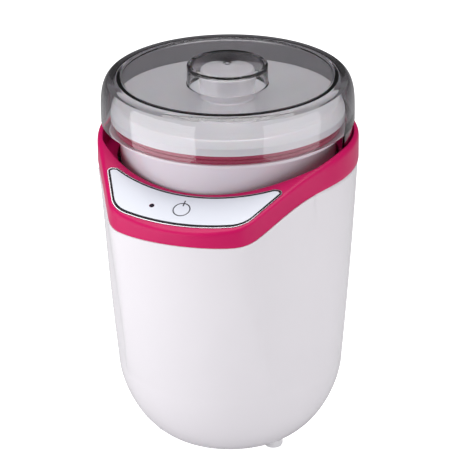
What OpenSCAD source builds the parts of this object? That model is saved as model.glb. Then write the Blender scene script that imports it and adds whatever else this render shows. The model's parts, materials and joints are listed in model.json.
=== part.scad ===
// Electric yogurt maker: a flared cup-shaped housing with a forward console,
// a coloured collar, one lift-out container with its own lid, and a smoky outer lid.
// Millimetres. +Z up, the console faces -Y, the feet stand on z = 0.

/* [Part] */
// Which piece to draw

/* [Housing] */
// Wall of the housing
wall = 2.5; // [2:0.1:3]
// Radius of the cup where its rounded bottom ends
cup_r = 66.75; // [66:0.05:67.5]
// How far the console reaches forward of the axis
nose_reach = 92.3; // [90:0.1:94]
// Lean of the console's front below the collar
nose_lean = 13.3; // [12:0.1:14]

/* [Collar] */
// Outer radius of the collar ring
ring_r = 76; // [75.8:0.1:76.6]
// Radius of the ring's inside, around the outer lid
ring_in_r = 72.8; // [72.7:0.05:73]
// Height of the ring's top
ring_top = 190.5; // [190:0.1:191]
// Slope of the control panel, from horizontal
slope = 23.5; // [23:0.1:24]

/* [Container] */
// Outer radius of the container under its flange
jar_r = 63.1; // [62.6:0.05:63.2]
// Outer radius of the container's flange and of its lid
flange_r = 68.2; // [67.6:0.1:68.4]
// Radius of the knob on the container's lid
knob_r = 16; // [14:0.1:17]

/* [Outer lid] */
// Thickness of the outer lid
lid_t = 2.2; // [2:0.1:2.4]
// Outer radius of the hollow boss in the middle of the outer lid
boss_r = 23.5; // [23:0.1:24]

/* [Controls] */
// Width of the chrome line around the panel
trim_w = 0.5; // [0.45:0.05:1]
// Diameter of the key under the printed symbol
key_d = 13.6; // [12:0.1:14]

/* [Hidden] */
$fn = 96;
round_h = 48;
flat_r = 33.75;
corner_r = 22;
corner_at = nose_reach - corner_r;
corner_a = 21.2;
side_z = 174.2;
front_z = 155.3;
ledge_top = 176;
ledge_low = 170.8;
panel_f = 76;
panel_z = 170.5;
bend_r = 120;
bend_f = panel_f - (ring_top - panel_z) / tan(slope) - bend_r * tan(slope / 2);
slab = 4.2;
foot_at = 39.5;
inlet_z = 56;
jar_z = 71;
jar_top = 195.4;
plate_z = 223;
dish_z = 219.4;
white = [0.93, 0.92, 0.94];
pink = [0.78, 0.16, 0.41];
grey = [0.6, 0.6, 0.62];
dark = [0.08, 0.08, 0.09];

// ---- shared shapes ----

// Radius of the rounded bottom at angle t, for a surface set in by w
function low_r(t, w) = flat_r + (cup_r - w - flat_r) * pow(sin(t), 1.1876);
function low_z(t, w) = round_h - (round_h - w) * pow(cos(t), 1.1876);
function cup_side(z, w) = cup_r - w + 0.0875 * (z - round_h) - 0.00014 * pow(z - round_h, 2);

// Side of the cup, from its flat bottom at z = low up to z = 180
function cup_pts(w, low, t0) = concat(
    [[0, low], [low_r(t0, w), low]],
    [for (t = [t0 + 4 : 6 : 88]) [low_r(t, w), low_z(t, w)]],
    [for (z = [round_h : 22 : 180]) [cup_side(z, w), z]],
    [[0, round_h + 132]]);

// Plan outline of the console, set in by o, tangent behind to a ring of radius rc.
// k narrows it front to back, for the leaning prism under the collar.
function flank_n(rc, k) = let (p = corner_a + acos((rc - corner_r) / corner_at),
    n = [sin(p), -cos(p) / k]) n / norm(n);
module console(rc, o, k = 1) {
    c = corner_at * [sin(corner_a), -cos(corner_a) * k];
    f = nose_reach * k - corner_r;
    bow_y = (c * c - f * f) / (2 * (f + c[1]));
    d = 1.4 * (c - [0, bow_y]);
    n = flank_n(rc, k);
    a = c + (corner_r - o) * n;
    b = a + sqrt(corner_at * corner_at - pow(rc - corner_r, 2)) * [-n[1], n[0]];
    intersection() {
        translate([0, bow_y]) circle(r = nose_reach * k + bow_y - o, $fn = 180);
        polygon([[0, bow_y], [d[0], d[1] + bow_y], [0, -2 * nose_reach], [-d[0], d[1] + bow_y]]);
    }
    for (m = [-1, 1]) translate([c[0] * m, c[1]]) circle(r = corner_r - o, $fn = 96);
    polygon([a, b, [0, -10 * k], [-b[0], b[1]], [-a[0], a[1]]]);
}
module ring_plan(o) {
    circle(r = ring_r - o, $fn = 180);
    console(ring_r, o);
}

// Heights of the collar's lower edge and of its top, at distance f in front of the axis
function edge_z(f) = side_z - (side_z - front_z) * (1 - cos(180 * pow(min(1, max(0, (f - 18) / 72)), 1.35))) / 2;
function bend_pts(dz) = [for (a = [0 : slope / 6 : slope + 0.01])
    [-(bend_f + bend_r * sin(a)), ring_top - dz - bend_r * (1 - cos(a))]];

// A profile in Y and Z, drawn out along X
module along_x(pts, half = 110) translate([-half, 0, 0]) rotate([90, 0, 90]) linear_extrude(2 * half) polygon(pts);
module above_edge() along_x(concat([[110, 230], [110, side_z], [-18, side_z]],
    [for (f = [24 : 6 : 90]) [-f, edge_z(f)]], [[-110, front_z], [-110, 230]]));
module below_top(dz, top = 400) intersection() {
    along_x(concat([[110, 100], [110, ring_top - dz]], bend_pts(dz),
        [[-110, panel_z - dz - (110 - panel_f) * tan(slope)], [-110, 100]]));
    translate([-120, -120, 90]) cube([240, 240, top - 90]);
}
module on_panel() translate([0, -panel_f, panel_z]) rotate([slope, 0, 0]) children();
module around(r, angles) for (a = angles) rotate(a) translate([0, -r, 0]) children();
module tube(r, inner, h) difference() { cylinder(r = r, h = h); translate([0, 0, -1]) cylinder(r = inner, h = h + 2); }
module screw(head_r, head_h, shaft_r, shaft) {
    translate([0, 0, -head_h]) cylinder(r = head_r, h = head_h, $fn = 24);
    translate([0, 0, -0.5]) cylinder(r = shaft_r, h = shaft + 0.5, $fn = 24);
}

// Crescent outline of the panel, in the panel's own plane, set in by o
module crescent(o) offset(r = 2, $fn = 24) offset(delta = -2 - o) difference() {
    hull() {
        for (m = [-1, 1]) {
            translate([27 * m, 8.13]) circle(r = 17, $fn = 64);
            translate([50.4 * m, 21.9]) circle(r = 2, $fn = 24);
        }
        intersection() {
            translate([0, 109.6]) circle(r = 122, $fn = 240);
            translate([-29, -13]) square([58, 10]);
        }
    }
    translate([0, 102.1]) circle(r = 91.5, $fn = 200);
}
module face_outline(o) intersection() { crescent(0.55 + o); translate([0, 1.4]) crescent(0.55 + o); }

// ---- housing ----

module cup(w, low, t0) rotate_extrude() polygon(cup_pts(w, low, t0));
module nose(o) intersection() {
    translate([0, 0, front_z]) rotate([nose_lean, 0, 0]) translate([0, 0, -125])
        linear_extrude(165) console(ring_r - 1.4, o, cos(nose_lean));
    translate([0, 0, 30]) cylinder(r1 = 62.2 - o, r2 = 104.7 - o, h = 170);
}
module outer_shell() {
    difference() {
        union() { cup(0, 1.6, 14); nose(0); }
        difference() {
            union() { cup(wall, 6.4, 14); nose(wall); }
            around(foot_at, [60, 180, 300]) cylinder(r = 7.4, h = 8.6);
            around(28, [0, 120, 240]) cylinder(r = 3.6, h = 15);
            for (x = [-28, 28], y = [-18, 18]) translate([x, y, 0]) cylinder(r = 3.2, h = 17);
        }
        above_edge();
        translate([0, 0, -1]) cylinder(r = 33.3, h = 5);
        translate([0, 0, -1]) cylinder(r = 20, h = 9);
        around(28, [0, 120, 240]) translate([0, 0, 3]) cylinder(r = 1.5, h = 14, $fn = 24);
        around(foot_at, [60, 180, 300]) {
            translate([0, 0, -1]) cylinder(r = 5.7, h = 5.6);
            cylinder(r = 2.2, h = 12, $fn = 24);
        }
        for (x = [-28, 28], y = [-18, 18]) translate([x, y, 10]) cylinder(r = 1.2, h = 8, $fn = 24);
        translate([-11.6, 40, inlet_z - 8.1]) cube([23.2, 40, 16.2]);
    }
}
module base_cover() difference() {
    translate([0, 0, 1.6]) cylinder(r = 33, h = 2.3);
    around(28, [0, 120, 240]) {
        cylinder(r = 1.7, h = 6, $fn = 24);
        cylinder(r = 3.2, h = 2.5, $fn = 24);
    }
    for (x = [-12 : 6 : 12]) translate([x - 1.2, 6, 0]) cube([2.4, 14, 6]);
    translate([-16, -18, 0]) cube([32, 16, 1.9]);
}
module rating_plate() translate([-15.8, -17.8, 1.6]) cube([31.6, 15.6, 0.28]);
module feet() around(foot_at, [60, 180, 300]) {
    cylinder(r1 = 4.9, r2 = 5.5, h = 1.2);
    translate([0, 0, 1.2]) cylinder(r = 5.5, h = 3.3);
    translate([0, 0, 4]) cylinder(r = 2.1, h = 5.6, $fn = 24);
}
module base_screws() around(28, [0, 120, 240]) translate([0, 0, 2.5])
    screw(2.9, 0.7, 1.4, 11);

// ---- collar and controls ----

module collar() difference() {
    union() {
        intersection() {
            translate([0, 0, 150]) linear_extrude(45) ring_plan(0);
            above_edge();
            below_top(0);
            translate([0, 0, 150]) cylinder(r1 = ring_r + 0.8 * 36.5, r2 = ring_r - 0.8 * 8.5, h = 45);
        }
        intersection() {
            translate([0, 0, ledge_low]) cylinder(r = 72.6, h = 5);
            below_top(0);
        }
        on_panel() for (m = [-22, 22]) translate([m, -5, -11.7]) cylinder(r = 2.8, h = 9, $fn = 32);
    }
    intersection() {
        translate([0, 0, 150]) linear_extrude(30) ring_plan(2.6);
        below_top(slab, ledge_low);
        difference() {
            translate([-100, -100, 140]) cube([200, 200, 60]);
            on_panel() for (m = [-22, 22]) translate([m, -5, -11.7]) cylinder(r = 2.8, h = 11, $fn = 32);
        }
    }
    translate([0, 0, 140]) cylinder(r = 64.6, h = 60);
    intersection() {
        translate([0, 0, ledge_top]) cylinder(r = ring_in_r, h = 30);
        translate([0, 19, ledge_top]) cylinder(r = 83, h = 30);
    }
    on_panel() {
        translate([0, 0, -1.8]) linear_extrude(8) crescent(-trim_w - 0.1);
        translate([0, 0, -8]) cylinder(r = key_d / 2 + 0.4, h = 10);
        translate([-18, 0, -8]) cylinder(r = 2, h = 10, $fn = 24);
        for (m = [-22, 22]) translate([m, -5, -12.7]) cylinder(r = 1.1, h = 8, $fn = 24);
    }
    around(67.8, [75, 140, 220, 285]) translate([0, 0, 165]) cylinder(r = 1.5, h = 9.5, $fn = 24);
}
module panel_trim() on_panel() translate([0, 0, -1.7]) linear_extrude(2.05) difference() {
    crescent(-trim_w);
    crescent(0);
}
module panel_bezel() on_panel() translate([0, 0, -1.7]) linear_extrude(1.85) difference() {
    crescent(0.05);
    face_outline(0);
}
module control_panel() on_panel() difference() {
    translate([0, 0, -1.7]) linear_extrude(1.75) face_outline(0.05);
    translate([0, 0, -3]) cylinder(r = key_d / 2 + 0.3, h = 2.65);
    translate([-18, 0, -3]) cylinder(r = 1.55, h = 5, $fn = 32);
}
module led_lens() on_panel() translate([-18, 0, 0]) {
    translate([0, 0, -11.7]) cylinder(r = 1.45, h = 11.72, $fn = 32);
    translate([0, 0, -11.7]) cylinder(r = 1.85, h = 1.2, $fn = 32);
}
module power_key() on_panel() {
    translate([0, 0, -5.4]) cylinder(r = key_d / 2, h = 5);
    translate([0, 0, -5.6]) cylinder(r = 8.8, h = 1.2);
}
module switch_plunger() on_panel() translate([0, 0, -9.2]) cylinder(r = 1.7, h = 3.6, $fn = 32);
module tact_switch() on_panel() difference() {
    translate([-3, -3, -11.8]) cube([6, 6, 3.4]);
    translate([0, 0, -9.9]) cylinder(r = 1.78, h = 3, $fn = 32);
}
module control_board() on_panel() difference() {
    translate([-27, -12, -13.4]) cube([54, 15.2, 1.6]);
    for (m = [-22, 22]) translate([m, -5, -14]) cylinder(r = 1.5, h = 3, $fn = 24);
}
module board_screws() on_panel() for (m = [-22, 22]) translate([m, -5, -13.4]) screw(2.3, 1.6, 1, 7);

// ---- heating chamber ----

function liner_r(z) = 62 + 0.02 * (z - jar_z);
module chamber_liner() difference() {
    rotate_extrude() polygon([[0, 69.8], [59.5, 69.8], [62.2, 70.6], [63.2, 73], [liner_r(169.6) + 1.2, 169.6],
        [70.4, 169.6], [70.4, ledge_low], [liner_r(ledge_low), ledge_low], [62.04, 73.6], [61.4, 71.6],
        [59.2, jar_z], [0, jar_z]]);
    difference() {
        translate([-80, -138, 169]) cube([160, 80, 4]);
        translate([0, 0, 168]) cylinder(r = 65.5, h = 6);
    }
    around(67.8, [75, 140, 220, 285]) translate([0, 0, 165]) cylinder(r = 1.6, h = 8, $fn = 24);
}
module heater_plate() translate([0, 0, 67.7]) tube(46, 4.6, 2.1);
module heater_clamp() translate([0, 0, 66.3]) difference() {
    tube(44, 4.6, 1.4);
    for (a = [30 : 60 : 330]) rotate(a) translate([28, 0, -1]) cylinder(r = 6, h = 4, $fn = 32);
}
module temp_sensor() {
    translate([0, 0, 58]) cylinder(r = 4.2, h = 11.8, $fn = 40);
    translate([0, 0, 62]) cylinder(r = 6.5, h = 1.5, $fn = 40);
}
module thermal_fuse() {
    translate([-7, -20, 64.1]) rotate([0, 90, 0]) cylinder(r = 2.2, h = 14, $fn = 32);
    translate([-16, -20, 64.1]) rotate([0, 90, 0]) cylinder(r = 0.5, h = 32, $fn = 16);
}
module insulation_jacket() rotate_extrude() polygon([[63.7, 76], [66.1, 76], [68.3, 150], [65.2, 150]]);
module liner_screws() around(67.8, [75, 140, 220, 285]) translate([0, 0, 169.6]) screw(2.5, 1.8, 1.4, 4.6);

// ---- base electronics ----

module power_board() difference() {
    translate([-33, -23, 17]) cube([66, 46, 1.6]);
    for (x = [-28, 28], y = [-18, 18]) translate([x, y, 16]) cylinder(r = 1.6, h = 4, $fn = 24);
}
module board_parts() {
    translate([-24, -4, 18.6]) cube([14, 18, 15]);
    translate([11, -7, 18.6]) cube([20, 16, 16]);
    translate([1, -13, 18.6]) cylinder(r = 5, h = 16, $fn = 40);
    translate([-19, -15, 18.6]) cube([10, 6, 8]);
}
module power_screws() for (x = [-28, 28], y = [-18, 18]) translate([x, y, 18.6]) rotate([180, 0, 0])
    screw(2.5, 1.6, 1.1, 7);
module figure8(r, h) for (m = [-4, 4]) translate([m, 0, 0]) rotate([-90, 0, 0]) cylinder(r = r, h = h, $fn = 40);
module inlet_housing() translate([0, 0, inlet_z]) difference() {
    union() {
        difference() {
            translate([-15, 60, -11]) cube([30, 10.6, 22]);
            translate([0, 0, -inlet_z]) cup(-0.05, 1.6, 14);
        }
        translate([-11.4, 50, -7.9]) cube([22.8, 19, 15.8]);
    }
    translate([0, 55, 0]) {
        figure8(4.3, 20);
        translate([-4, 0, -4.1]) cube([8, 20, 8.2]);
    }
    for (m = [-4.3, 4.3]) translate([m, 45, 0]) rotate([-90, 0, 0]) cylinder(r = 1.25, h = 12, $fn = 24);
}
module inlet_pins() for (m = [-4.3, 4.3]) translate([m, 46, inlet_z]) rotate([-90, 0, 0])
    cylinder(r = 1.2, h = 20, $fn = 24);
module wire(p, r = 0.9) for (i = [0 : len(p) - 2]) {
    d = p[i + 1] - p[i];
    translate(p[i]) rotate([0, acos(d[2] / norm(d)), atan2(d[1], d[0])]) cylinder(r = r, h = norm(d), $fn = 16);
    if (i > 0) translate(p[i]) sphere(r = r + 0.2, $fn = 16);
}
module wires() {
    for (m = [-1, 1]) wire([[4.3 * m, 45, inlet_z], [4.3 * m, 39, 44], [5 * m, 18, 30], [5 * m, 18, 18.7]]);
    for (m = [0, 1]) wire([[-14 - 4 * m, -19.5, 19], [-14 - 4 * m, -26, 40], [-19 - 4 * m, -19, 65.9]]);
    wire([[5, -82.5, 152], [5, -74.5, 116], [5, -69, 78], [5, -50, 42], [7, -20, 28], [7, -20, 18.7]], 1.1);
}

// ---- container and lids ----

module container() rotate_extrude() polygon([[0, 72.2], [52, 72.2], [52.6, jar_z], [57.6, jar_z], [59.8, 72.2],
    [60.5, 75], [jar_r, 193.4], [flange_r, 193.4], [flange_r, jar_top], [61.6, jar_top], [58.9, 78],
    [57.6, 75], [54.6, 73.8], [0, 73.8]]);
module lid_seal() rotate_extrude() polygon([[60.8, jar_top], [65.5, jar_top], [65.5, 197.6], [64.6, 198.2],
    [65.5, 198.8], [65.5, 206.1], [64.2, 206.1], [63.1, 199.6], [62.2, 206.1], [60.8, 206.1]]);
module container_lid() difference() {
    rotate_extrude() polygon([[0, 207.7], [59, 207.7], [59, 189.5], [59.6, 189], [60.4, 189], [60.7, 189.6],
        [60.7, 206.1], [65.7, 206.1], [66.6, 205.2], [66.6, 201.3], [flange_r, 201.3], [flange_r, 205.4],
        [67.5, 206.1], [64.8, 209], [64, 209.5], [knob_r + 1, 209.5], [knob_r, 210.3],
        [knob_r, 225.9], [knob_r - 1.2, 227.1], [0, 227.1]]);
    translate([0, 0, 207]) cylinder(r = knob_r - 1.8, h = 18.3);
}
module smoked_lid() difference() {
    union() {
        rotate_extrude() polygon(concat([[0, 231.3 - lid_t], [boss_r - 3.2, 231.3 - lid_t], [boss_r - lid_t, dish_z],
            [boss_r - 1.6, dish_z - lid_t], [62, plate_z - lid_t], [63.2, 221.5], [64.2, 222.3], [65.8, 222.3]],
            [for (a = [30 : 15 : 90]) lid_side(a, lid_t)],
            [[71.4, 198], [73.6, 198]],
            [for (a = [90 : -10 : 0]) lid_side(a, 0)],
            [[62, 224.5], [61.2, 224.1], [61, plate_z + 0.4], [60.4, plate_z], [boss_r + 0.6, dish_z],
            [boss_r, dish_z + 0.6], [boss_r - 0.4, 229.8], [boss_r - 1.8, 231.3], [0, 231.3]]));
        difference() {
            translate([0, 0, ledge_top]) tube(72.4, 70.3, 22.4);
            translate([-80, -83, ledge_top - 1]) cube([160, 80, 23.4]);
        }
    }
    translate([0, 0, 230.8]) tube(2.4, 1.4, 2);
}
// Rounded shoulder and drafted side of the outer lid
function lid_side(a, t) = [66.2 + (7.4 - t) * pow(sin(a), 0.9), 202 + (22.5 - t) * pow(cos(a), 0.62)];

// Centres the whole object's footprint on the origin
module place() translate([0, (nose_reach - ring_r) / 2, 0]) children();

color(white) place() outer_shell();
color(white) place() base_cover();
color([0.8, 0.8, 0.8]) place() feet();
color(grey) place() base_screws();
color(grey) place() rating_plate();
color(pink) place() collar();
color([0.8, 0.8, 0.82]) place() panel_trim();
color(dark) place() panel_bezel();
color([0.89, 0.9, 0.93]) place() control_panel();
color(dark) place() led_lens();
color([0.1, 0.4, 0.2]) place() control_board();
color(grey) place() board_screws();
color(dark) place() tact_switch();
color(white) place() power_key();
color([0.85, 0.85, 0.8]) place() switch_plunger();
color([0.75, 0.76, 0.78]) place() chamber_liner();
color([0.5, 0.2, 0.1]) place() heater_plate();
color(grey) place() heater_clamp();
color([0.8, 0.8, 0.8]) place() temp_sensor();
color([0.8, 0.75, 0.6]) place() thermal_fuse();
color([0.85, 0.8, 0.6]) place() insulation_jacket();
color(grey) place() liner_screws();
color([0.1, 0.4, 0.2]) place() power_board();
color(dark) place() board_parts();
color(grey) place() power_screws();
color(dark) place() inlet_housing();
color([0.8, 0.7, 0.4]) place() inlet_pins();
color([0.8, 0.2, 0.2]) place() wires();
color([0.95, 0.95, 0.96]) place() container();
color(pink) place() lid_seal();
color([0.9, 0.9, 0.93]) place() container_lid();
color([0.4, 0.4, 0.43, 0.4]) place() smoked_lid();
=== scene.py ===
"""Electric yogurt maker: a lofted white housing with a forward console, a coloured collar,
a container with its lid and seal, and a smoky outer lid, on a white studio floor."""
import json
import math

import bmesh
import bpy
import numpy as np
from mathutils import Matrix, Vector


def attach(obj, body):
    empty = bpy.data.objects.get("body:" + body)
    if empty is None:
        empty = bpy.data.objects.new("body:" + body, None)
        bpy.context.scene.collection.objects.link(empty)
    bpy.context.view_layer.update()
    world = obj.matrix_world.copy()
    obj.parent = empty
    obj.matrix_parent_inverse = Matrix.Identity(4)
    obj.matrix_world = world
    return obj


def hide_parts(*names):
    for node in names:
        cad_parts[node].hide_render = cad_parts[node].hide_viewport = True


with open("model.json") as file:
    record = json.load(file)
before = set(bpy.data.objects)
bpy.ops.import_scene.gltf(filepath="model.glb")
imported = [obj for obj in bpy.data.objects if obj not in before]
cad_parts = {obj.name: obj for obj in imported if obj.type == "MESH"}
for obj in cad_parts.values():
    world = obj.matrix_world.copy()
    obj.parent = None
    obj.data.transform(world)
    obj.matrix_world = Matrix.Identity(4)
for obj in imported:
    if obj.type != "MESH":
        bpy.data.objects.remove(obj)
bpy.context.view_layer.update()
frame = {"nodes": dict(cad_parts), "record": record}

MM = 0.001

# Lengths are in millimetres about the cup's axis until piece() scales them.
SHIFT = 8.15                                     # how far the cup's axis is behind the origin
WALL = 2.5                                       # of the housing
RING_R, RING_IN_R, RING_TOP = 76.0, 72.8, 190.5  # the collar's ring
HOLE_R, LEDGE_TOP, LEDGE_LOW = 64.6, 176, 170.8  # the ledge inside it
REBATE = 1.4                                     # the housing is this far inside the collar's outline
FLAT_R, CUP_R, ROUND_H, ROUND_POWER = 33.75, 66.75, 48, 1.1876   # the cup's bottom
DRAFT, BARREL = 0.0875, 0.00014                  # the cup's side: how it widens and bows
CONE_R, CONE_RISE, CONE_Z = 62.2, 0.25, 30       # the cone that limits the console low down
SCOOP_R, SCOOP_AT = 83, 19                       # the front of the ring's inside, an arc set back
EDGE_AT, EDGE_RUN, EDGE_EASE = 18, 72, 1.35      # where the collar's lower edge dips, and how late
NOSE, CORNER_R, CORNER_A = 92.3, 22.0, 21.2      # console: reach, corner radius, corner angle
FRONT_Z, SIDE_Z, LEAN = 155.3, 174.2, math.radians(13.3)   # collar's lower edge, lean of the front
PANEL_F, PANEL_Z, SLOPE, BEND_R = 76.0, 170.5, math.radians(23.5), 120.0
BEND_F = PANEL_F - (RING_TOP - PANEL_Z) / math.tan(SLOPE) - BEND_R * math.tan(SLOPE / 2)


# ---- materials ----

def material(name, color, rough=0.3, vary=0.03, scale=60, bump=0.0, bump_scale=900, wear=0.05, **inputs):
    """A plastic, metal or rubber: its colour and roughness drift a little, over a fine moulded grain."""
    m = bpy.data.materials.new(name)
    m.use_nodes = True
    nt = m.node_tree
    bsdf = nt.nodes["Principled BSDF"]
    for key, value in inputs.items():
        bsdf.inputs[key.replace("_", " ")].default_value = value
    coord = nt.nodes.new("ShaderNodeTexCoord")
    drift = nt.nodes.new("ShaderNodeTexNoise")
    drift.inputs["Scale"].default_value = scale
    drift.inputs["Detail"].default_value = 4
    ramp = nt.nodes.new("ShaderNodeValToRGB")
    ramp.color_ramp.elements[0].position = 0.3
    ramp.color_ramp.elements[1].position = 0.7
    ramp.color_ramp.elements[0].color = [c * (1 - vary) for c in color] + [1]
    ramp.color_ramp.elements[1].color = [min(1, c * (1 + vary)) for c in color] + [1]
    gloss = nt.nodes.new("ShaderNodeMapRange")
    gloss.inputs["To Min"].default_value = max(0, rough * (1 - wear))
    gloss.inputs["To Max"].default_value = min(1, rough * (1 + wear))
    nt.links.new(coord.outputs["Object"], drift.inputs["Vector"])
    nt.links.new(drift.outputs["Fac"], ramp.inputs["Fac"])
    nt.links.new(ramp.outputs["Color"], bsdf.inputs["Base Color"])
    nt.links.new(drift.outputs["Fac"], gloss.inputs["Value"])
    nt.links.new(gloss.outputs["Result"], bsdf.inputs["Roughness"])
    if bump:
        grain = nt.nodes.new("ShaderNodeTexNoise")
        grain.inputs["Scale"].default_value = bump_scale
        grain.inputs["Detail"].default_value = 3
        relief = nt.nodes.new("ShaderNodeBump")
        relief.inputs["Strength"].default_value = bump
        relief.inputs["Distance"].default_value = 0.0002
        nt.links.new(coord.outputs["Object"], grain.inputs["Vector"])
        nt.links.new(grain.outputs["Fac"], relief.inputs["Height"])
        nt.links.new(relief.outputs["Normal"], bsdf.inputs["Normal"])
    return m


def brushed(name, color, rough, along=(40, 40, 1500)):
    """Metal with fine lines along one direction."""
    m = material(name, color, rough, vary=0.06, wear=0.25, Metallic=1.0)
    nt = m.node_tree
    stretch = nt.nodes.new("ShaderNodeMapping")
    stretch.inputs["Scale"].default_value = along
    lines = nt.nodes["Noise Texture"]
    coord = nt.nodes["Texture Coordinate"]
    lines.inputs["Scale"].default_value = 1
    nt.links.new(coord.outputs["Object"], stretch.inputs["Vector"])
    nt.links.new(stretch.outputs["Vector"], lines.inputs["Vector"])
    return m


def smoky(name):
    """Clear moulded plastic with a grey tint that deepens with thickness."""
    m = material(name, (0.97, 0.96, 0.97), 0.012, vary=0.01, wear=0.5, scale=12,
                 Transmission_Weight=1.0, IOR=1.49)
    nt = m.node_tree
    path = nt.nodes.new("ShaderNodeLightPath")
    soft = nt.nodes.new("ShaderNodeMath")
    soft.operation = "MAXIMUM"
    clear = nt.nodes.new("ShaderNodeBsdfTransparent")
    clear.inputs["Color"].default_value = (0.97, 0.97, 0.97, 1)
    mix = nt.nodes.new("ShaderNodeMixShader")
    nt.links.new(path.outputs["Is Shadow Ray"], soft.inputs[0])
    nt.links.new(path.outputs["Is Diffuse Ray"], soft.inputs[1])
    nt.links.new(soft.outputs["Value"], mix.inputs["Fac"])
    nt.links.new(nt.nodes["Principled BSDF"].outputs["BSDF"], mix.inputs[1])
    nt.links.new(clear.outputs["BSDF"], mix.inputs[2])
    nt.links.new(mix.outputs["Shader"], nt.nodes["Material Output"].inputs["Surface"])
    tint = nt.nodes.new("ShaderNodeVolumeAbsorption")
    tint.inputs["Color"].default_value = (0.30, 0.27, 0.30, 1)
    tint.inputs["Density"].default_value = 115
    nt.links.new(tint.outputs["Volume"], nt.nodes["Material Output"].inputs["Volume"])
    return m


MATS = {
    "shell": material("white_housing", (0.735, 0.71, 0.74), 0.24, vary=0.006, scale=35, bump=0.02,
                      Coat_Weight=0.25, Coat_Roughness=0.12),
    "collar": material("magenta_collar", (0.53, 0.004, 0.10), 0.34, vary=0.03, bump=0.03,
                       Specular_IOR_Level=0.22),
    "trim": material("chrome_line", (0.45, 0.44, 0.46), 0.22, vary=0.02, scale=400, Metallic=1.0),
    "bezel": material("black_border", (0.006, 0.006, 0.008), 0.4, vary=0.2, scale=200,
                      Specular_IOR_Level=0.15),
    "panel": material("panel_face", (0.70, 0.725, 0.79), 0.3, vary=0.006, bump=0.01, Specular_IOR_Level=0.3),
    "print": material("printed_ink", (0.035, 0.035, 0.05), 0.35, vary=0.15, scale=900),
    "lens": material("light_window", (0.02, 0.02, 0.03), 0.1, vary=0.1, scale=500, Coat_Weight=0.6),
    "board": material("circuit_board", (0.03, 0.17, 0.07), 0.35, vary=0.25, scale=260, bump=0.15),
    "screw": brushed("zinc_steel", (0.56, 0.56, 0.58), 0.3),
    "switch": material("switch_body", (0.03, 0.03, 0.035), 0.45, bump=0.2),
    "plunger": material("nylon", (0.72, 0.71, 0.64), 0.4, bump=0.1),
    "key": material("key_plastic", (0.8, 0.8, 0.81), 0.42, bump=0.12),
    "foot": material("soft_foot", (0.78, 0.77, 0.79), 0.45, vary=0.05, bump=0.25),
    "plate": brushed("rating_plate", (0.58, 0.58, 0.6), 0.35, (40, 1500, 40)),
    "liner": brushed("spun_aluminium", (0.74, 0.74, 0.76), 0.3),
    "heater": material("silicone_heater", (0.32, 0.07, 0.03), 0.55, vary=0.12, scale=120, bump=0.4),
    "clamp": brushed("pressed_steel", (0.5, 0.5, 0.52), 0.34, (1200, 60, 60)),
    "sensor": brushed("sensor_can", (0.7, 0.7, 0.7), 0.28),
    "fuse": material("fuse_body", (0.62, 0.55, 0.38), 0.4, vary=0.1, bump=0.15),
    "jacket": material("glass_felt", (0.68, 0.6, 0.4), 0.9, vary=0.2, scale=380, bump=0.9, bump_scale=1500),
    "parts": material("component_resin", (0.05, 0.05, 0.06), 0.4, vary=0.3, scale=110, bump=0.2),
    "inlet": material("inlet_plastic", (0.035, 0.035, 0.04), 0.4, vary=0.12, bump=0.3),
    "pin": brushed("brass_pin", (0.72, 0.56, 0.28), 0.25),
    "wire": material("wire_insulation", (0.5, 0.03, 0.02), 0.4, vary=0.1, scale=300, bump=0.1),
    # painted shade: the white container's base colour is darkened to grey-pink for the shade it sits in under
    # the outer lid and collar
    "jar": material("container_white", (0.635, 0.575, 0.63), 0.2, vary=0.012, scale=22, bump=0.02,
                    Subsurface_Weight=0.15, Subsurface_Scale=0.004, Coat_Weight=0.2),
    "seal": material("silicone_seal", (0.40, 0.005, 0.07), 0.34, vary=0.05, bump=0.1),
    "jar_lid": material("container_lid_white", (0.86, 0.85, 0.88), 0.17, vary=0.01, scale=22, bump=0.02,
                        Subsurface_Weight=0.15, Subsurface_Scale=0.004, Coat_Weight=0.3),
    "smoke": smoky("smoky_plastic"),
}


# ---- meshes ----

def piece(name, verts, faces, mat, body, stands_for=(), smooth=38):
    """A mesh in millimetres about the cup's axis becomes a piece of the object."""
    mesh = bpy.data.meshes.new(name)
    v = (np.asarray(verts, float) + [0, SHIFT, 0]) * MM
    mesh.from_pydata(v.tolist(), [], [list(map(int, f)) for f in faces])
    obj = bpy.data.objects.new(name, mesh)
    bpy.context.scene.collection.objects.link(obj)
    bm = bmesh.new()
    bm.from_mesh(mesh)
    bmesh.ops.remove_doubles(bm, verts=bm.verts, dist=2e-6)
    bmesh.ops.dissolve_degenerate(bm, dist=1e-6, edges=bm.edges)
    bmesh.ops.recalc_face_normals(bm, faces=bm.faces)
    bm.to_mesh(mesh)
    bm.free()
    mesh.polygons.foreach_set("use_smooth", [True] * len(mesh.polygons))
    mesh.set_sharp_from_angle(angle=math.radians(smooth))
    mesh.materials.append(MATS[mat])
    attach(obj, body)
    if stands_for:
        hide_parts(*stands_for)
    return obj


def ring_faces(rows, cols, close_rows=False):
    """Quads between closed rings of points, ring i joined to ring i + 1."""
    out = []
    for i in range(rows if close_rows else rows - 1):
        j = (i + 1) % rows
        out += [(i * cols + k, i * cols + (k + 1) % cols, j * cols + (k + 1) % cols, j * cols + k)
                for k in range(cols)]
    return out


def rounded(points, steps=4):
    """Corners given as (r, z, radius) become short curves."""
    out = []
    n = len(points)
    for i, p in enumerate(points):
        rad = p[2] if len(p) > 2 else 0
        if not rad or i in (0, n - 1):
            out.append(p[:2])
            continue
        here = np.array(p[:2], float)
        ends = []
        for q in (points[i - 1], points[i + 1]):
            d = np.array(q[:2], float) - here
            length = np.hypot(*d)
            ends.append(here + d / length * min(rad, 0.49 * length))
        for t in np.linspace(0, 1, steps + 1):
            out.append(tuple((1 - t) ** 2 * ends[0] + 2 * t * (1 - t) * here + t * t * ends[1]))
    return out


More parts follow.
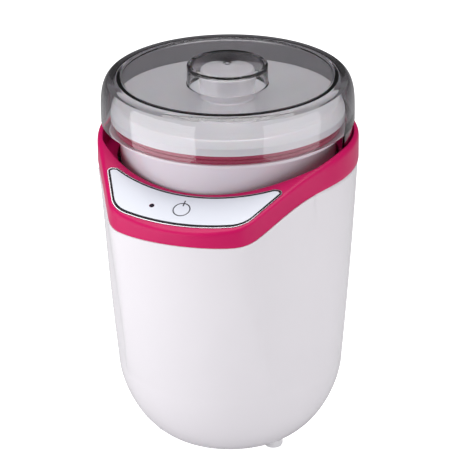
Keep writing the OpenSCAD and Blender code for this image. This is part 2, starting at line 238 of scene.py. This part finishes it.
def lathe(name, profile, mat, body, stands_for, seg=192, warp=None):
    """A profile of (r, z) turned about the cup's axis; warp may move points by their angle."""
    a = np.arange(seg) * 2 * math.pi / seg
    verts = []
    for r, z in profile:
        rr, zz = np.full(seg, r), np.full(seg, z)
        if warp:
            rr, zz = warp(a, rr, zz)
        verts.append(np.stack([rr * np.sin(a), -rr * np.cos(a), zz], 1))
    verts = np.concatenate(verts)
    return piece(name, verts, ring_faces(len(profile), seg), mat, body, stands_for)


# ---- outlines ----

def flank(rc):
    """Angle at which the console's flank meets a ring of radius rc."""
    return CORNER_A + math.degrees(math.acos((rc - CORNER_R) / (NOSE - CORNER_R)))


def console_r(a, rc):
    """Distance from the axis to the console's outline at angle a, in degrees from the front."""
    a = np.abs((a + 180) % 360 - 180)
    at, p = NOSE - CORNER_R, math.radians(flank(rc))
    ca = math.radians(CORNER_A)
    end = math.degrees(math.atan2(at * math.sin(ca) + CORNER_R * math.sin(p),
                                  at * math.cos(ca) + CORNER_R * math.cos(p)))
    d = np.radians(a - CORNER_A)
    corner = at * np.cos(d) + np.sqrt(np.maximum(0, CORNER_R ** 2 - (at * np.sin(d)) ** 2))
    side = rc / np.cos(np.clip(np.radians(a) - p, -1.4, 0))
    return np.where(a <= CORNER_A, NOSE, np.where(a < end, corner, side))


def edge_z(f):
    """Height of the collar's lower edge, f in front of the axis."""
    dip = np.clip((f - EDGE_AT) / EDGE_RUN, 0, 1) ** EDGE_EASE
    return SIDE_Z - (SIDE_Z - FRONT_Z) * (1 - np.cos(np.pi * dip)) / 2


def top_z(f):
    """Height of the collar's top: level behind, then an arc into the sloping panel."""
    arc = RING_TOP - BEND_R + np.sqrt(BEND_R ** 2 - np.clip(f - BEND_F, 0, BEND_R * math.sin(SLOPE)) ** 2)
    return np.where(f > BEND_F + BEND_R * math.sin(SLOPE), PANEL_Z - (f - PANEL_F) * math.tan(SLOPE), arc)


def cup_r(z):
    """Outer radius of the cup at height z."""
    z = np.asarray(z, float)
    c = np.clip((ROUND_H - z) / ROUND_H, 0, 1) ** (1 / ROUND_POWER)
    low = FLAT_R + (CUP_R - FLAT_R) * np.sqrt(1 - c * c) ** ROUND_POWER
    up = z - ROUND_H
    return np.where(z < ROUND_H, low, CUP_R + DRAFT * up - BARREL * up ** 2)


OUT_A = np.linspace(-flank(RING_R - REBATE), flank(RING_R - REBATE), 481)
OUT_R = console_r(OUT_A, RING_R - REBATE)
OUT_XY = np.stack([OUT_R * np.sin(np.radians(OUT_A)), -OUT_R * np.cos(np.radians(OUT_A))], 1)


def shell_r(a, z, soft=5.0):
    """The cup and the console's leaning prism, with a soft valley where they meet."""
    xy = OUT_XY + [0, (FRONT_Z - z) * math.tan(LEAN)]
    ang = np.degrees(np.arctan2(xy[:, 0], -xy[:, 1]))
    turn = (a + 180) % 360 - 180
    nose = np.interp(turn, ang, np.hypot(xy[:, 0], xy[:, 1]), left=0, right=0)
    nose = np.minimum(nose, CONE_R + CONE_RISE * (z - CONE_Z)) * (z > CONE_Z)
    cup = cup_r(z)
    h = np.maximum(0, soft - np.abs(cup - nose)) / soft * np.clip((ang[-1] - np.abs(turn)) / 12, 0, 1)
    return np.maximum(cup, nose) + h * h * soft * 0.25 * np.clip((z - 32) / 30, 0, 1)


# ---- housing ----

def housing():
    """Outside and inside walls, ring by ring from the bottom's opening to the collar's lower edge."""
    seg = 360
    a = np.arange(seg) * 360.0 / seg
    s, c = np.sin(np.radians(a)), np.cos(np.radians(a))
    top = SIDE_Z + np.zeros(seg)
    for _ in range(12):
        top = np.array([float(edge_z(shell_r(np.array([ai]), zi)[0] * ci)) for ai, zi, ci in zip(a, top, c)])
    rows = []
    t = np.radians(np.linspace(14, 90, 26))
    low = ROUND_H - ROUND_H * np.cos(t) ** ROUND_POWER
    for inset in (0, WALL):
        band = [np.stack([(33.4 + 0 * s) * s, -33.4 * c, np.full(seg, 1.6 if not inset else 4.2)], 1)]
        for z in low:
            zz = max(z, 1.62 if not inset else 4.4)
            r = np.maximum(shell_r(a, zz) - inset, 33.5)
            band.append(np.stack([r * s, -r * c, np.full(seg, zz)], 1))
        for u in np.linspace(0, 1, 42)[1:]:
            zz = ROUND_H + (top - ROUND_H) * u
            r = np.array([float(shell_r(np.array([ai]), zi)[0]) for ai, zi in zip(a, zz)]) - inset
            if u == 1 and not inset:
                band.append(np.stack([r * s, -r * c, zz - 0.35], 1))
                r = r - 0.35
            band.append(np.stack([r * s, -r * c, zz], 1))
        rows += band if not inset else band[::-1]
    verts = np.concatenate(rows)
    piece("housing", verts, ring_faces(len(rows), seg, True), "shell", "base", ["outer_shell"], 50)


def collar():
    """A closed section swept round: outside wall, rounded edge, sloping top, ring's inside and ledge."""
    a = np.unique(np.concatenate([np.arange(0, 360, 1.0), np.arange(12, 40, 0.5), np.arange(320, 348, 0.5)]))
    s, c = np.sin(np.radians(a)), np.cos(np.radians(a))
    front = np.abs((a + 180) % 360 - 180) < flank(RING_R)
    out = np.where(front, console_r(a, RING_R), RING_R)
    inn = np.minimum(RING_IN_R, -SCOOP_AT * c + np.sqrt(SCOOP_AT ** 2 * c * c - SCOOP_AT ** 2 + SCOOP_R ** 2))
    inn = np.where(np.abs((a + 180) % 360 - 180) < 90, inn, RING_IN_R)
    z_e = edge_z(out * c)
    rnd = np.where(front, 2.0 + 1.0 * np.clip((np.abs((a + 180) % 360 - 180) - 40) / 20, 0, 1), 3.0)
    hole = np.minimum(HOLE_R, inn)
    ledge = np.minimum(LEDGE_TOP, top_z(inn * c) - 1.2)
    under = np.minimum(LEDGE_LOW, top_z(out * c) - 4.2)
    rows = []

    def row(r, z):
        rows.append(np.stack([r * s, -r * c, z + 0 * r], 1))

    def curve(p, q, w, steps):
        for t in np.linspace(0, 1, steps + 1):
            row(*[(1 - t) ** 2 * i + 2 * t * (1 - t) * j + t * t * k for i, j, k in zip(p, q, w)])

    row(out - 2.4, z_e)
    curve((out - 0.45, z_e), (out, z_e), (out, z_e + 0.45), 2)
    for u in (0.2, 0.5, 0.8):
        row(out, z_e + 0.45 + (top_z(out * c) - rnd - z_e - 0.45) * u)
    curve((out, top_z(out * c) - rnd * 1.1), (out, top_z(out * c)), (out - rnd, top_z((out - rnd) * c)), 6)
    for u in np.linspace(0, 1, 8)[1:-1]:
        r = (out - rnd) + (inn + 0.5 - out + rnd) * u
        row(np.maximum(r, inn + 0.1), top_z(np.maximum(r, inn + 0.1) * c))
    curve((inn + 0.2, top_z((inn + 0.2) * c)), (inn, top_z(inn * c)), (inn, top_z(inn * c) - 0.5), 3)
    row(inn, ledge)
    row(hole, ledge)
    row(hole, np.minimum(171.2, top_z(hole * c) - 4.2))
    row(out - 2.6, under)
    piece("collar_band", np.concatenate(rows), ring_faces(len(rows), len(a), True), "collar", "base",
          ["collar"], 42)


# ---- panel printing ----

def on_panel(x, y, h=0.0):
    """A point of the panel's own plane, h above it."""
    return (x, -PANEL_F + y * math.cos(SLOPE) - h * math.sin(SLOPE),
            PANEL_Z + y * math.sin(SLOPE) + h * math.cos(SLOPE))


def symbol():
    """The printed power symbol: a closed ring with a tick across its top."""
    seg, verts, faces = 96, [], []
    turns = [2 * math.pi * k / seg for k in range(seg)]
    for r, h in ((4.42, 0.05), (4.45, 0.075), (5.13, 0.075), (5.16, 0.05)):
        verts += [on_panel(r * math.sin(t), r * math.cos(t), h) for t in turns]
    faces += ring_faces(4, seg, True)
    piece("symbol_ring", verts, faces, "print", "base", (), 60)
    verts, faces, n = [], [], 8
    outline = []
    for end, y in ((0, 3.0), (math.pi, 6.6)):
        arc = [end + math.pi + math.pi * k / n for k in range(n + 1)]
        outline += [(0.4 * math.cos(t), y + 0.4 * math.sin(t)) for t in arc]
    m = len(outline)
    for h, k in ((0.05, 1.0), (0.08, 1.0), (0.085, 0.9)):
        verts += [on_panel(x * k, 4.8 + (y - 4.8) * (0.99 if k < 1 else 1), h) for x, y in outline]
    faces = ring_faces(3, m) + [tuple(range(2 * m, 3 * m)), tuple(range(m))[::-1]]
    piece("symbol_tick", verts, faces, "print", "base", (), 60)


# ---- container and lids ----

def container():
    profile = rounded([
        (0, 72.2), (52, 72.2, .4), (52.6, 71, .4), (57.6, 71, 1.6), (59.8, 72.2, 1.2), (60.5, 75, 1.5),
        (63.1, 193.4, .5), (68.2, 193.4, .3), (68.2, 195.4, .5), (61.6, 195.4, .5), (58.9, 78, 2),
        (57.6, 75, 2), (54.6, 73.8, 1), (0, 73.8)])
    lathe("container_body", profile, "jar", "container", ["container"])


def seal():
    profile = rounded([
        (60.8, 195.4), (65.5, 195.4, .3), (65.5, 197.6, .3), (64.6, 198.2, .2), (65.5, 198.8, .3),
        (65.5, 206.1), (64.2, 206.1, .2), (63.1, 199.6, .4), (62.2, 206.1, .2), (60.8, 206.1),
        (60.8, 195.4)])
    lathe("seal_ring", profile[:-1] + profile[:1], "seal", "container_lid", ["lid_seal"])


def container_lid():
    profile = rounded([
        (0, 207.7), (59, 207.7, .6), (59, 189.5, .3), (59.6, 189, .2), (60.4, 189, .2), (60.7, 189.6),
        (60.7, 206.1), (65.7, 206.1, .3), (66.6, 205.2, .3), (66.6, 201.3, .2), (68.2, 201.3, .3),
        (68.2, 205.4, .5), (67.5, 206.1, .5), (64.8, 209, .6), (64, 209.5, .6), (17, 209.5, .4),
        (16, 210.3, .5), (16, 225.9, .8), (14.8, 227.1, .9), (0, 227.1)])
    hollow = rounded([(0, 225.3), (14.2, 225.3, .6), (14.2, 207.7)])
    lathe("container_cover", hollow + profile[1:], "jar_lid", "container_lid", ["container_lid"])


def outer_lid():
    def side(a, t):
        a = math.radians(a)
        return (66.2 + (7.4 - t) * math.sin(a) ** 0.9, 202 + (22.5 - t) * math.cos(a) ** 0.62)

    top = rounded([
        (0, 231.3), (1.4, 231.3, .1), (1.4, 230.8, .1), (2.4, 230.8, .1), (2.4, 231.3, .1),
        (23.5, 231.3, 1.6), (23.5, 219.4, .7), (60.4, 223.0, .3), (61, 223.4, .2), (61.2, 224.1, .3),
        (62, 224.5, .4), (66.2, 224.5)], 5)
    outer = [side(a, 0) for a in np.linspace(0, 90, 26)[1:]]
    foot = [(73.6, 198.4), (73.2, 198), (72.4, 198), (72.4, 196), (72.4, 187), (72.4, 176.4),
            (72.0, 176), (70.7, 176), (70.3, 176.4), (70.3, 187), (70.3, 196), (70.35, 198.6), (71.0, 199.4)]
    inner = [side(a, 2.2) for a in np.linspace(90, 24, 20)]
    under = rounded([inner[-1], (64.2, 222.3, .5), (63.2, 221.5, .5), (62, 220.8, .5), (21.9, 217.2, .8),
                     (21.3, 229.1, 1.4), (0, 229.1)], 5)
    profile = top + outer + foot + inner + under[1:]

    def warp(a, r, z):
        """Lifts the skirt's edge where the lid is open over the console."""
        front = np.abs(np.degrees(np.arctan2(np.sin(a), np.cos(a)))) < 87.7
        z_cut = np.where(front & (z < 198.3), 198.3 - (198.3 - z) * 0.002, z)
        return np.where(front & (z < 200), np.clip(r, 71.5, 73.5), r), z_cut

    lathe("outer_lid_cover", profile, "smoke", "outer_lid", ["smoked_lid"], 240, warp)


housing()
collar()
symbol()
container()
seal()
container_lid()
outer_lid()

for node in frame["nodes"].values():
    slot_name = next(p["material_slot"] for p in frame["record"]["subparts"] if p["node"] == node.name)
    node.data.materials.clear()
    node.data.materials.append(MATS[slot_name])


# ---- studio ----

def floor():
    """A wide white floor: it shows white, lights the object softly from below and, seen through glass,
    carries a painted grey shade.
    """
    n, size = 24, 6.0
    xs = np.linspace(-size, size, n)
    verts = [(x, y, -0.0001) for y in xs for x in xs]
    mesh = bpy.data.meshes.new("floor")
    mesh.from_pydata(verts, [], [(j * n + i, j * n + i + 1, (j + 1) * n + i + 1, (j + 1) * n + i)
                                 for j in range(n - 1) for i in range(n - 1)])
    obj = bpy.data.objects.new("floor", mesh)
    bpy.context.scene.collection.objects.link(obj)
    sweep = material("white_sweep", (0.62, 0.62, 0.63), 0.9, vary=0.004, scale=3, Specular_IOR_Level=0.0,
                     Emission_Color=(1, 1, 1, 1))
    nt = sweep.node_tree
    seen = nt.nodes.new("ShaderNodeLightPath")
    glow = nt.nodes.new("ShaderNodeMath")         # white to the camera, a soft bounce to the object
    glow.operation = "MULTIPLY_ADD"
    glow.inputs[1].default_value = 1.0
    painted_shade_in_glass = nt.nodes.new("ShaderNodeMix")           # painted shade: the floor's colour turns greyer when it is seen through the outer lid
    painted_shade_in_glass.data_type = "RGBA"
    painted_shade_in_glass.inputs["B"].default_value = (0.36, 0.36, 0.38, 1)
    nt.links.new(seen.outputs["Is Camera Ray"], glow.inputs[0])
    bounce = nt.nodes.new("ShaderNodeMath")
    bounce.operation = "MULTIPLY"
    bounce.inputs[1].default_value = 0.3
    nt.links.new(seen.outputs["Is Diffuse Ray"], bounce.inputs[0])
    nt.links.new(bounce.outputs["Value"], glow.inputs[2])
    nt.links.new(glow.outputs["Value"], nt.nodes["Principled BSDF"].inputs["Emission Strength"])
    nt.links.new(nt.nodes["Color Ramp"].outputs["Color"], painted_shade_in_glass.inputs["A"])
    nt.links.new(seen.outputs["Is Transmission Ray"], painted_shade_in_glass.inputs["Factor"])
    nt.links.new(painted_shade_in_glass.outputs["Result"], nt.nodes["Principled BSDF"].inputs["Base Color"])
    obj.data.materials.append(sweep)


def panel_light(name, azimuth, distance, size, height, radiance, tilt=0.0, color=(1, 1, 1)):
    """An upright soft light at an angle round from the camera's side; radiance is its brightness."""
    data = bpy.data.lights.new(name, "AREA")
    data.shape = "RECTANGLE"
    data.size, data.size_y = size
    data.energy = radiance * math.pi * size[0] * size[1]
    data.color = color
    obj = bpy.data.objects.new(name, data)
    a = math.radians(azimuth)
    obj.location = (distance * math.sin(a), SHIFT * MM - distance * math.cos(a), height)
    aim = Vector((0, SHIFT * MM, height + tilt)) - obj.location
    obj.rotation_euler = aim.to_track_quat("-Z", "Y").to_euler()
    bpy.context.scene.collection.objects.link(obj)


floor()
CAM_A = 20.5
panel_light("left_panel", CAM_A - 59, 0.42, (0.52, 0.36), 0.19, 2.15, color=(0.99, 0.98, 1))
panel_light("right_panel", CAM_A + 57, 0.44, (0.46, 0.36), 0.19, 1.3, color=(0.99, 0.98, 1))
panel_light("top_panel", CAM_A, 0.02, (0.7, 0.7), 0.95, 4.2, tilt=-0.9)

world = bpy.data.worlds.new("studio")
bpy.context.scene.world = world
world.use_nodes = True
tree = world.node_tree
tree.nodes["Background"].inputs["Color"].default_value = (1, 1, 1, 1)
ray = tree.nodes.new("ShaderNodeLightPath")
dark = tree.nodes.new("ShaderNodeMapRange")       # a dark ceiling and walls in reflections
dark.inputs["To Min"].default_value = 0.06
dark.inputs["To Max"].default_value = 0.32
plain = tree.nodes.new("ShaderNodeMath")
plain.operation = "MAXIMUM"
tree.links.new(ray.outputs["Is Diffuse Ray"], dark.inputs["Value"])
tree.links.new(dark.outputs["Result"], plain.inputs[0])
tree.links.new(ray.outputs["Is Camera Ray"], plain.inputs[1])
tree.links.new(plain.outputs["Value"], tree.nodes["Background"].inputs["Strength"])

# ---- camera ----

cam = bpy.data.objects.new("camera", bpy.data.cameras.new("camera"))
bpy.context.scene.collection.objects.link(cam)
bpy.context.scene.camera = cam
az = math.radians(CAM_A)
CAM_AWAY, CAM_HIGH, AIM_HIGH = 1.6461, 0.8493, 0.121
cam.location = (CAM_AWAY * math.sin(az), SHIFT * MM - CAM_AWAY * math.cos(az), CAM_HIGH)
aim = Vector((0, SHIFT * MM, AIM_HIGH)) - cam.location
cam.rotation_mode = "QUATERNION"
roll = Matrix.Rotation(math.radians(-0.6), 3, "Z")
cam.rotation_quaternion = (aim.to_track_quat("-Z", "Y").to_matrix() @ roll).to_quaternion()
cam.data.lens = 231.7
cam.data.sensor_width = 36
cam.data.shift_x, cam.data.shift_y = 0.0165, 0.003
cam.data.clip_start, cam.data.clip_end = 0.05, 50
bpy.context.scene.view_settings.view_transform = "Standard"
bpy.context.scene.view_settings.look = "None"
